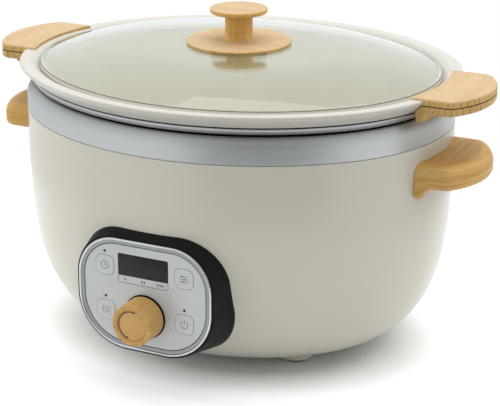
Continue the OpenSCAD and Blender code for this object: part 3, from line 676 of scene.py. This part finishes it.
def make_pot_grips():
    """An upper and a lower wooden shell at each side, with a toe at each end below."""
    upper = [(0.45, GRIP_MID + 0.05), (0.0, GRIP_MID + 0.4)]
    upper += [(GRIP_ROUND - x, z) for x, z in arc(0, GRIP_HI - GRIP_ROUND, GRIP_ROUND, 0, 90, 6)]
    lower = [(GRIP_UNDER - x, z) for x, z in arc(0, GRIP_LOW + GRIP_UNDER, GRIP_UNDER, -90, 0, 6)]
    lower += [(0.0, GRIP_MID - 0.4), (0.45, GRIP_MID)]
    toe = [(153.2, GRIP_LOW + 2.2), (153.2, BAND_TOP + 2.0), (157.9, BAND_TOP + 1.9),
           (166.4, GRIP_LOW - 0.2), (167.5, GRIP_LOW + 2.2)]
    for side, turn in (("right", 0), ("left", 180)):
        rings = []
        for inset, z in upper:
            lean = 0.12 * inset if z > GRIP_MID + 2 else 0.0
            outline = grip_outline(GRIP_X, GRIP_W, GRIP_CORNER, GRIP_INNER, inset, lean)
            rings.append([(x, y, z) for x, y in outline])
        top = loft(f"grip_top_{side}", rings, caps=(True, True), flow="profile")
        give(turned(top, turn), "pale_top", "pot", "pale_wood", f"pot_handle_top_{side}")
        # painted sheen: the grip's level faces stay paler than its sides
        split_top_sheen(top, "pale_side")
        stripe(top, "seam_brown", [0], len(rings[0]))
        rings = []
        for inset, z in lower:
            outline = grip_outline(GRIP_X, GRIP_W, GRIP_CORNER, flank_d(z) - 0.1, inset)
            rings.append([(x, y, z) for x, y in outline])
        base = loft(f"grip_base_{side}", rings, caps=(True, True), flow="profile")
        give(turned(base, turn), "pale_side", "pot", "warm_wood", f"pot_handle_base_{side}")
        stripe(base, "seam_brown", [len(rings) - 2], len(rings[0]))
        for end, y in (("near", 0.3 - GRIP_W), ("far", GRIP_W - TOE_W - 0.3)):
            rib = prism(f"grip_toe_{side}_{end}", toe, y, y + TOE_W)
            regrain(soften(rib, 0.5, 2), "z", 0.4)
            give(turned(rib, turn), "pale_side", "pot", "warm_wood")


def split_top_sheen(obj, side_material, slope=0.45):
    """Faces steeper than the slope take the side's material; the level faces keep a paler one, a
    painted sheen on the tops.
    """
    obj.data.materials.append(MATERIALS[side_material])
    for face in obj.data.polygons:
        face.material_index = 1 if abs(face.normal.z) < slope else 0


def regrain(obj, axis="y", slope=0.6):
    """Lays the map called grain flat along an axis on level faces, and upright on the rest."""
    mesh = obj.data
    layer = mesh.uv_layers.get("grain") or mesh.uv_layers.new(name="grain")
    for face in mesh.polygons:
        level = abs(face.normal.z) > slope
        for i in face.loop_indices:
            x, y, z = mesh.vertices[mesh.loops[i].vertex_index].co
            if level:
                layer.data[i].uv = (y, x) if axis == "y" else (x, y)
            elif abs(face.normal.x) > abs(face.normal.y):
                layer.data[i].uv = (z, y + 0.31)
            else:
                layer.data[i].uv = (z, x + 0.17)
    return obj


def stripe(obj, material, levels, ring_size):
    """Gives the bands between some of the rings another material."""
    obj.data.materials.append(MATERIALS[material])
    own = len(obj.data.materials) - 1
    for level in levels:
        for i in range(level * ring_size, (level + 1) * ring_size):
            obj.data.polygons[i].material_index = own


# ---- housing handles ----

def lug_drop(x, y):
    """How far the wall's lower edge runs down, near the housing at one end of a handle."""
    if -y < CUP_W - CUP_T - 0.8:
        return 0.0
    t = min(max((LUG_X - x) / LUG_RUN, 0.0), 1.0)
    return LUG_DROP * t * t * (3 - 2 * t)


def make_cup_handles():
    """Wooden cups, hollow from below: inside from the ceiling down, then outside going up."""
    levels = []  # inset, end on the oval, height, share of the lug's drop
    for x, z in arc(0, CUP_TOP - CUP_T - CUP_CEILING_R, CUP_CEILING_R, 90, 0, 6):
        levels.append((CUP_T + CUP_CEILING_R - x, CUP_HOLLOW, z, 0.0))
    levels.append((CUP_T, CUP_HOLLOW, CUP_LOW + 3, 0.6))
    levels.append((CUP_T, CUP_HOLLOW, CUP_LOW + 0.7, 1.0))
    levels.append((CUP_T - 0.7, CUP_HOLLOW - 0.6, CUP_LOW, 1.0))
    for x, z in arc(0, CUP_LOW + CUP_UNDER, CUP_UNDER, -88, 0, 8):
        levels.append((CUP_UNDER - x, CUP_INNER, z, 1.0))
    levels.append((0.0, CUP_INNER, CUP_LOW + CUP_UNDER + 2, 0.5))
    for x, z in arc(0, CUP_TOP - CUP_ROUND, CUP_ROUND, 0, 90, 14):
        levels.append((CUP_ROUND - x, CUP_INNER, z, 0.0))
    for side, turn in (("right", 0), ("left", 180)):
        rings = []
        for inset, inner, z, drop in levels:
            outline = grip_outline(CUP_X, CUP_W, CUP_CORNER, inner, inset, 0.0, 1.2)
            rings.append([(x, y, z - drop * lug_drop(x, y)) for x, y in outline])
        cup = loft(f"cup_handle_{side}", rings, caps=(True, True))
        give(turned(cup, turn), "warm_wood", "housing", "warm_wood", f"housing_handle_{side}")


# ---- lid ----

def dome(t, steps=44):
    """The glass's upper face, t lower, from the rim to near the middle."""
    out = []
    for i in range(steps + 1):
        s = i / steps
        out.append((DOME_START - DOME_RUN * s, LID_TOP - t - DOME_H * (1 - s) ** 2.2))
    return out


def make_lid():
    """The domed glass, the turned knob on its disc, and the washer under the glass."""
    edge = arc(GLASS_D - 0.9, GLASS_EDGE_Z + 0.9, 0.9, -90, 0, 5)
    edge += arc(GLASS_D - 0.9, GLASS_EDGE_Z + GLASS_T - 0.9, 0.9, 0, 80, 5)
    bottom = list(reversed(dome(GLASS_T)))
    profile = bottom + edge + dome(0)
    glass = oval_loft("glass_dome", profile, closed=False, caps=(True, True), per_arc=FINE_ARC)
    give(glass, "lid_glass", "lid", "lid_glass", "lid_glass")
    start, line = len(bottom), len(bottom) + len(edge) - 5
    stripe(glass, "glass_rim", range(start, line), 4 * FINE_ARC)
    stripe(glass, "glass_line", range(line, line + 3), 4 * FINE_ARC)
    knob = [(2.6, COLLAR_TOP), (STEM_R - 0.2, COLLAR_TOP), (STEM_R, COLLAR_TOP + 0.2)]
    knob += [(STEM_R, COLLAR_TOP + 0.8)]
    knob += arc(STEM_R + 2, KNOB_TOP - 5.4, 2, 180, 90, 8)
    knob += arc(LID_KNOB_R - 1.2, KNOB_TOP - 2.3, 1.2, -90, 0, 6)
    knob += arc(LID_KNOB_R - 0.9, KNOB_TOP - 1.0, 0.9, 0, 84, 6)
    knob += [(LID_KNOB_R - 4, KNOB_TOP - 0.05), (6, KNOB_TOP)]
    top = regrain(lathe("knob_top", knob, caps=(True, True)), "x", 0.75)
    # painted sheen: the knob's level faces are paler than its stem
    give(top, "pale_top", "lid", "pale_wood", "lid_knob")
    split_top_sheen(top, "stem_wood", 0.8)
    base = [(3, LID_TOP), (KNOB_BASE_R - 0.7, LID_TOP)]
    base += arc(KNOB_BASE_R - 0.7, LID_TOP + 0.7, 0.7, -80, 0, 5)
    base += arc(KNOB_BASE_R - 0.5, LID_TOP + 1.3, 0.5, 0, 80, 5)
    base += [(KNOB_BASE_R - 5, LID_TOP + 1.95), (STEM_R + 6, LID_TOP + 2.2)]
    base += arc(STEM_R + 1.6, LID_TOP + 3.9, 1.6, 270, 180, 6)
    base += [(STEM_R, COLLAR_TOP - 0.3), (STEM_R - 0.2, COLLAR_TOP - 0.1), (3, COLLAR_TOP - 0.1)]
    disc = regrain(lathe("knob_base", base, closed=True), "x", 0.75)
    # painted sheen: the disc's level faces are paler than its collar
    give(disc, "pale_top", "lid", "pale_wood", "lid_knob_base")
    split_top_sheen(disc, "stem_wood", 0.8)
    z = LID_TOP - GLASS_T - 0.6
    washer = [(3, z), (20.2, z), (20.5, z - 0.4), (20.4, z - 7.5)]
    washer += arc(16.4, z - 8.2, 4.0, 0, -90, 8)
    washer += [(7.0, z - 12.2), (6.4, z - 11.8), (6.2, z - 6.6), (3, z - 6.6)]
    under = regrain(lathe("knob_washer", washer, closed=True), "x", 0.75)
    # painted light: the washer's wood is paler than the knob's, against the shade it sits in
    give(under, "washer_wood", "lid", "pale_wood", "lid_knob_washer")


# ---- control pod ----

def belly_d(z):
    """The housing's offset at height z."""
    f = ((SEAM_H - z) / BELLY_DROP) ** BELLY_POWER
    return -BELLY_IN * (1 - (1 - f) ** (1 / BELLY_POWER))


def belly_y(x, z):
    """Where the housing's near side stands at x and z."""
    return ARC_C - math.sqrt((SIDE_R + belly_d(z)) ** 2 - x * x)


def pod_foot(grow, sink):
    """The panel's outline laid on the housing, widened most at the lower right."""
    slim, wide = panel_outline(grow), panel_outline(grow + POD_SWELL)
    out = []
    for a, b in zip(slim, wide):
        f = min(max((PANEL_Z - a[1]) / 40 + 0.1, 0.0), 1.0) * min(max(a[0] / 40 + 0.6, 0.3), 1.0)
        x, z = a[0] + (b[0] - a[0]) * f, a[1] + (b[1] - a[1]) * f
        out.append((x, belly_y(x, z) + sink, z))
    return out


def blend_rings(a, b, steps):
    """Rings between two, the first left out."""
    return [[tuple(p + (q - p) * k / steps for p, q in zip(u, v)) for u, v in zip(a, b)]
            for k in range(1, steps + 1)]


def make_pod():
    """The black pod that leads from the belly out to the panel, and the silver ring in it."""
    y0 = -PANEL_Y
    rim = [(-1.3, BACK_Y), (-1.2, y0 + 0.5), (-0.6, y0 + 0.12), (0.1, y0), (0.6, y0 + 0.1),
           (1.0, y0 + 0.4), (1.25, y0 + 1.0)]
    rings = panel_rings(rim)
    rings += blend_rings(rings[-1], pod_foot(POD_GROW, -0.6), 8)
    rings += [pod_foot(POD_GROW + 0.1, 0.9), pod_foot(POD_GROW - 2.3, 1.0)]
    inner = panel_rings([(-3.6, BACK_Y + 4), (-3.6, BACK_Y + 0.1)])
    rings += blend_rings(rings[-1], inner[0], 6) + inner[1:]
    give(loft("pod_shell", rings, closed=True), "black_plastic", "housing", "black_plastic",
         "control_pod")
    profile = [(-0.5, BACK_Y - 0.3), (-0.35, FACE_Y - 0.5), (-0.5, FACE_Y - 0.85),
               (-0.8, FACE_Y - 1.05), (-1.2, FACE_Y - 1.1), (-1.6, FACE_Y - 1.0),
               (-1.85, FACE_Y - 0.75), (-2.0, FACE_Y - 0.35), (-2.6, FACE_Y - 0.16),
               (-4.3, FACE_Y - 0.06), (-4.45, FACE_Y + 0.2), (-4.8, FACE_Y + 0.2),
               (-4.85, BACK_Y - 0.3)]
    rings = panel_rings(profile)
    trim = loft("trim_ring", rings, closed=True)
    give(trim, "silver_trim", "housing", "silver_trim", "panel_trim")
    # painted shade: the ring's recessed inner band takes the darker copy of its metal
    stripe(trim, "trim_band", (7, 8), len(rings[0]))
    # painted shade: the groove where the ring meets the face is painted dark
    stripe(trim, "seam_dark", (9, 10), len(rings[0]))


def moved(outline, x, z):
    """The outline, x further right and z higher."""
    return [(a + x, b + z) for a, b in outline]


def make_face():
    """The panel's face, with its openings, and the window let into it."""
    plate = prism("face_plate", panel_outline(-4.95), FACE_Y, BACK_Y)
    w = BUTTON_W + 2 * BUTTON_GAP
    holes = [moved(box_outline(w, w, BUTTON_R + 0.2), x, z) for x, z in BUTTONS.values()]
    holes += [moved(arc(0, 0, LIGHT_R, 0, 345, 23), x, z) for x, z in LIGHTS]
    holes.append(moved(box_outline(DISPLAY_W + 0.2, DISPLAY_H + 0.2, 1.1), DISPLAY_X, DISPLAY_Z))
    holes.append(moved(arc(0, 0, COLLAR_HOLE_R, 0, 350, 35), 0, ROW_LO))
    tools = [prism("tool", hole, FACE_Y - 1, BACK_Y + 1) for hole in holes]
    give(carve(plate, tools), "silver_face", "housing", "silver_face", "panel_face")
    pane = moved(box_outline(DISPLAY_W, DISPLAY_H, 1.0), DISPLAY_X, DISPLAY_Z)
    rings = [[(x, y, z) for x, z in pane] for y in (BACK_Y, FACE_Y - 0.02)]
    inner = moved(box_outline(DISPLAY_W - 0.3, DISPLAY_H - 0.3, 0.9), DISPLAY_X, DISPLAY_Z)
    rings.append([(x, FACE_Y - 0.08, z) for x, z in inner])
    give(loft("window_pane", rings, caps=(True, True), cap_flow="z"), "display_black", "housing",
         "display_black", "display_window")


def ribbon(points, width):
    """The outline of a line of some width along points."""
    left, right = [], []
    for i, (x, z) in enumerate(points):
        ax, az = points[max(i - 1, 0)]
        bx, bz = points[min(i + 1, len(points) - 1)]
        run = math.hypot(bx - ax, bz - az)
        nx, nz = (az - bz) / run * width / 2, (bx - ax) / run * width / 2
        left.append((x + nx, z + nz))
        right.append((x - nx, z - nz))
    return left + right[::-1]


def print_marks(name, outlines, y, body, slot, material):
    """Printed marks: thin raised shapes, all in one mesh."""
    bm = bmesh.new()
    for outline in outlines:
        low = [bm.verts.new(Vector((x, y + MARK_SINK, z)) * MM) for x, z in outline]
        high = [bm.verts.new(Vector((x, y - MARK_T, z)) * MM) for x, z in outline]
        bm.faces.new(low)
        bm.faces.new(high[::-1])
        for i in range(len(outline)):
            k = (i + 1) % len(outline)
            bm.faces.new((low[k], low[i], high[i], high[k]))
    give(add_object(name, bm), material, body, slot)


def icon_outlines(name):
    """Plain generic marks in place of words: clock, heat, list and power."""
    if name == "timer":
        marks = [arc(0, 0, 2.9, 90, 449, 40), [(0, 1.8), (0, 0), (1.4, -0.9)]]
    elif name == "warm":
        wave = [(0.55 * math.sin(k * math.pi / 6), -2.6 + k * 5.2 / 18) for k in range(19)]
        marks = [moved(wave, x, 0) for x in (-2.2, 0, 2.2)]
    elif name == "mode":
        marks = [[(-2.9, z), (2.9, z)] for z in (1.9, 0, -1.9)]
        marks += [arc(x, z, 0.45, 0, 350, 12) for x, z in ((-1.2, 1.9), (1.3, 0), (-0.4, -1.9))]
    else:
        marks = [arc(0, -0.2, 2.6, 122, 418, 36), [(0, 0.4), (0, 3.3)]]
    return [ribbon(m, ICON_LINE) for m in marks]


def mark_panel():
    """The label strip's outline, its steps of one, two and three bars, and the icons."""
    half, low, r = DISPLAY_W / 2 - 0.15, LABEL_Z, LABEL_R
    top = DISPLAY_Z - DISPLAY_H / 2 - 0.1
    line = [(-half, top)] + arc(r - half, low + r, r, 180, 270, 6)
    line += arc(half - r, low + r, r, 270, 360, 6) + [(half, top)]
    marks = [ribbon(moved(line, DISPLAY_X, 0), LABEL_LINE)]
    mid = (top + low) / 2
    for x, bars in LABEL_BARS:
        for k in range(bars):
            at = x + DISPLAY_X + (k - (bars - 1) / 2) * BAR_STEP
            marks.append(ribbon([(at - BAR_L / 2, mid), (at + BAR_L / 2, mid)], BAR_W))
    print_marks("panel_marks", marks, FACE_Y, "housing", "silver_face", "ink")
    for name, (x, z) in BUTTONS.items():
        marks = [moved(o, x, z) for o in icon_outlines(name)]
        print_marks(f"{name}_icon", marks, FACE_Y - 0.3, f"{name}_button", "silver_face", "ink")


def button_piece(name, node, body, x, z):
    """A cap with a soft edge, over its flange."""
    levels = [(1.2, BACK_Y + 1.2), (1.2, BACK_Y + 0.1), (0.0, BACK_Y + 0.1),
              (0.0, FACE_Y - 0.12), (-0.12, FACE_Y - 0.26), (-0.35, FACE_Y - 0.3)]
    rings = []
    for g, y in levels:
        outline = box_outline(BUTTON_W + 2 * g, BUTTON_W + 2 * g, BUTTON_R + g, 10)
        rings.append([(x + a, y, z + b) for a, b in outline])
    give(loft(name, rings, caps=(True, True), cap_flow="z"), "silver_face", body, "silver_face",
         node)


def make_dial():
    """The control knob, bored for its collar and shaft, and its cap with the burnt arc."""
    at, r, bed = (0, DIAL_Y, ROW_LO), DIAL_CAP_R, DIAL_H - 1.5
    profile = [(DIAL_BORE, BORE_H), (DIAL_BORE, 0), (DIAL_R - 0.5, 0), (DIAL_R, 0.5),
               (DIAL_R, 6), (DIAL_R - 0.05, 12)]
    profile += arc(DIAL_R - 0.95, DIAL_H - 1.2, 0.9, 0, 85, 6)
    profile += [(r + 0.4, DIAL_H - 0.32), (r + 0.15, DIAL_H - 0.45), (r, bed)]
    profile += [(SHAFT_BORE, bed), (SHAFT_BORE, BORE_H)]
    give(lathe("dial_grip", profile, at, "y", closed=True, flow="profile"), "knob_wood", "dial",
         "warm_wood", "control_knob")
    cap = [(r - 0.15, bed), (r - 0.2, bed + 0.5), (r - 0.5, bed + 0.6)]
    give(lathe("dial_cap", cap, at, "y", caps=(True, True), cap_flow="z"), "cap_wood", "dial",
         "warm_wood", "control_knob_cap")
    marks = [ribbon(moved(arc(0, 0, MARK_R, 80, 246, 40), 0, ROW_LO), 0.7)]
    for x, z in arc(0, ROW_LO, MARK_R - 0.3, 79, 247, 1):
        marks.append(moved(arc(0, 0, 0.75, 0, 330, 11), x, z))
    print_marks("dial_mark", marks, DIAL_Y - DIAL_H + 0.9, "dial", "warm_wood", "burnt_mark")


make_housing()
make_band()
make_pot()
make_pot_grips()
make_cup_handles()
make_lid()
make_pod()
make_face()
for name, (x, z) in BUTTONS.items():
    button_piece(f"{name}_cap", f"button_{name}", f"{name}_button", x, z)
mark_panel()
make_dial()


# ---- CAD nodes that stay ----

STAYING = {
    "inner_liner": "well_metal", "insulation_wrap": "glass_wool",
    "heater_plate": "cast_aluminium", "heating_element": "element_metal",
    "temperature_probe": "cast_aluminium", "heat_shield": "well_metal",
    "base_plate": "black_plastic", "base_screws": "screw_steel", "power_board": "circuit_board",
    "housing_handle_screws": "screw_steel", "inlet_housing": "black_plastic",
    "power_inlet": "black_plastic", "display_module": "white_plastic",
    "status_lights": "lamp_black", "control_board": "circuit_board",
    "button_switches": "black_plastic", "dial_encoder": "screw_steel",
    "dial_collar": "black_plastic", "control_knob_shaft": "screw_steel",
    "pot_handle_screws": "screw_steel", "lid_knob_gasket": "clear_silicone",
    "lid_knob_screw": "screw_steel",
}
for node, finish in STAYING.items():
    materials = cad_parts[node].data.materials
    if not materials:
        materials.append(None)
    for i in range(len(materials)):
        materials[i] = MATERIALS[finish]


# ---- camera, light and floor ----

CAMERA_AT = Vector((0.546654, -1.082309, 0.522385))
CAMERA_AZIMUTH, CAMERA_PITCH, CAMERA_ROLL = 26.41, 19.38, 0.07
CAMERA_LENS = 123.6
FLOOR_R = 0.44                     # the floor ends before the dark part of the studio
FLOOR_GLOW, SHADOW_GLOW = 0.44, 0.03            # away from the object, and under it, where the dim glow is a painted shadow
GLOW_X, GLOW_Y, GLOW_END = 0.110, 0.088, 1.43  # the oval of the painted shadow, where the glow rises, and how far
WORLD_LIGHT = 0.77                 # the white all round, as it lights what scatters
WORLD_DARK, SOFT_DARK = 0.99, 0.5  # how dark the dark part is for gloss, and for the rest
DARK_SIDE = 26.4                   # where it stands, in degrees right of the front
DARK_EDGE, DARK_TOP = (0.72, 0.90), (0.45, 0.85)   # its soft edges, sideways and upwards
HORIZON = (0.87, 0.90, 0.94, 1)    # what gloss shows low down, where the white fades
HORIZON_LOW, HORIZON_HIGH = (-0.12, 0.0), (0.08, 0.34)
LAMPS = {  # place, aim, size and power
    "top": ((0.0, 0.25, 1.7), (0, 0, 0.1), (1.6, 1.6), 15),
    "left": ((-1.7, -0.9, 0.9), (0, 0, 0.12), (1.2, 1.4), 8),
    "right": ((1.3, 0.7, 1.3), (0.1, 0, 0.12), (1.0, 1.0), 5),
}


def make_camera():
    """The photograph's camera, as solved from it."""
    data = bpy.data.cameras.new("camera")
    data.lens, data.sensor_width, data.sensor_fit = CAMERA_LENS, 36.0, "HORIZONTAL"
    data.clip_start, data.clip_end = 0.05, 60
    obj = bpy.data.objects.new("camera", data)
    bpy.context.scene.collection.objects.link(obj)
    a, e = math.radians(CAMERA_AZIMUTH), math.radians(CAMERA_PITCH)
    back = Vector((math.sin(a) * math.cos(e), -math.cos(a) * math.cos(e), math.sin(e)))
    turn = (-back).to_track_quat("-Z", "Y").to_matrix().to_4x4()
    roll = Matrix.Rotation(math.radians(CAMERA_ROLL), 4, "Z")
    obj.matrix_world = Matrix.Translation(CAMERA_AT) @ turn @ roll
    bpy.context.scene.camera = obj


def softbox(name, at, aim, size, power):
    """A lamp that gloss doesn't show."""
    data = bpy.data.lights.new(name, "AREA")
    data.shape, data.size, data.size_y, data.energy = "RECTANGLE", *size, power
    obj = bpy.data.objects.new(name, data)
    bpy.context.scene.collection.objects.link(obj)
    obj.location, obj.rotation_mode = at, "QUATERNION"
    obj.rotation_quaternion = (Vector(aim) - Vector(at)).to_track_quat("-Z", "Y")
    obj.visible_glossy = False


def make_floor():
    """A pale floor whose glow fades under the object: a painted shadow, laid over the shadow the
    object casts.
    """
    bm = bmesh.new()
    rim = [bm.verts.new((x, y, 0)) for x, y in arc(0, 0, FLOOR_R, 0, 360, 96)[:-1]]
    bm.faces.new(rim)
    floor = add_object("floor", bm)
    s = Shader("floor", rgb(226, 226, 226), 0.75)
    s.bump(s.noise(s.place(), 120, 2), 0.02, 0.1)
    path = s.node("ShaderNodeLightPath")
    glow = s.node("ShaderNodeEmission", Color=(1, 1, 1, 1))
    seen = s.math("MAXIMUM", path.outputs["Is Camera Ray"], path.outputs["Is Glossy Ray"])
    seen = s.math("MAXIMUM", seen, path.outputs["Is Transmission Ray"])
    away = s.node("ShaderNodeVectorMath", operation="LENGTH")
    s.link(s.place((1 / GLOW_X, 1 / GLOW_Y, 0)), away.inputs[0])
    # painted shadow: the glow dims towards the object's footprint
    painted_shadow = s.range(away.outputs["Value"], 1.0, GLOW_END, SHADOW_GLOW, FLOOR_GLOW)
    s.link(s.math("MULTIPLY", seen, painted_shadow), glow.inputs["Strength"])
    add = s.node("ShaderNodeAddShader")
    s.link(s.bsdf.outputs["BSDF"], add.inputs[0])
    s.link(glow.outputs["Emission"], add.inputs[1])
    s.link(add.outputs["Shader"], s.nodes["Material Output"].inputs["Surface"])
    floor.data.materials.append(s.mat)


def make_world():
    """White all round, with a dark part of the studio in front, as brushed steel shows.

    The camera and light that has come through glass see only the white.
    """
    world = bpy.data.worlds.new("studio")
    bpy.context.scene.world = world
    g = Graph(world)
    way = g.node("ShaderNodeTexCoord").outputs["Generated"]
    front = g.node("ShaderNodeVectorMath", operation="DOT_PRODUCT")
    side = math.radians(DARK_SIDE)
    g.feed((way, front.inputs[0]), ((math.sin(side), -math.cos(side), 0), front.inputs[1]))
    split = g.node("ShaderNodeSeparateXYZ")
    g.link(way, split.inputs[0])
    height = split.outputs["Z"]
    path = g.node("ShaderNodeLightPath")
    through = path.outputs["Is Transmission Ray"]
    mirror = g.math("MAXIMUM", path.outputs["Is Glossy Ray"], through)
    opaque = g.math("SUBTRACT", 1.0, through)

    white = g.math("ADD", WORLD_LIGHT, g.math("MULTIPLY", mirror, 1.0 - WORLD_LIGHT))
    zone = g.math("MULTIPLY",
                  g.range(front.outputs["Value"], *DARK_EDGE, 0.0, 1.0, "SMOOTHSTEP"),
                  g.range(height, *DARK_TOP, 1.0, 0.0, "SMOOTHSTEP"))
    dark = g.math("ADD", SOFT_DARK, g.math("MULTIPLY", mirror, WORLD_DARK - SOFT_DARK))
    dark = g.math("MULTIPLY", zone, g.math("MULTIPLY", dark, opaque))
    lit = g.math("MULTIPLY", white, g.math("SUBTRACT", 1.0, dark))

    low = g.math("MULTIPLY", g.range(height, *HORIZON_LOW, 0.0, 1.0, "SMOOTHSTEP"),
                 g.range(height, *HORIZON_HIGH, 1.0, 0.0, "SMOOTHSTEP"))
    low = g.math("MULTIPLY", g.math("MULTIPLY", mirror, opaque), low)
    back = g.nodes["Background"]
    g.link(g.mix(low, (1, 1, 1, 1), HORIZON), back.inputs["Color"])
    g.link(g.math("MAXIMUM", lit, path.outputs["Is Camera Ray"]), back.inputs["Strength"])


make_camera()
make_floor()
make_world()
for name, (at, aim, size, power) in LAMPS.items():
    softbox(name, at, aim, size, power)

bpy.context.scene.view_settings.view_transform = "Standard"
